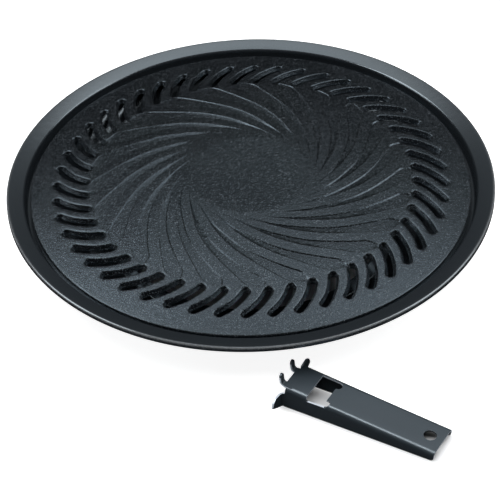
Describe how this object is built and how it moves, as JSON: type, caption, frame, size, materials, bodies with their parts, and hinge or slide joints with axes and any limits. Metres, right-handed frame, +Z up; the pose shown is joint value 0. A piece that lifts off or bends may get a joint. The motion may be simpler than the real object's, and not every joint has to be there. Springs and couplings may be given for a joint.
{
  "type": "yakiniku grill plate",
  "caption": "Round table-stove grill: a slotted, domed cooking plate seated in a ring-shaped drip pan, with a separate folded lifting handle lying beside it.",
  "frame": {"origin": "middle of the set's bounding box, on the flat surface that the pan and the handle stand on", "axes": "+Z up; +Y from the handle's side across the pan, away from the camera of the picture; +X to the right in it"},
  "size_m": [0.33, 0.396, 0.0476],
  "materials": {
    "plate_coating": "textured matt non-stick",
    "pan_coating": "smooth satin non-stick",
    "handle_finish": "satin blue-grey"
  },
  "bodies": {
    "drip_pan": {"drip_pan": "pan_coating"},
    "grill_plate": {"grill_plate": "plate_coating"},
    "handle": {"handle": "handle_finish"}
  },
  "joints": [
    {"name": "plate_lift", "type": "slide", "parent": "drip_pan", "child": "grill_plate", "axis": [0, 0, 1], "range_m": [0, 0.1]},
    {"name": "handle_draw", "type": "slide", "parent": "drip_pan", "child": "handle", "axis": [0.8599, -0.5105, 0], "range_m": [0, 0.08]}
  ]
}
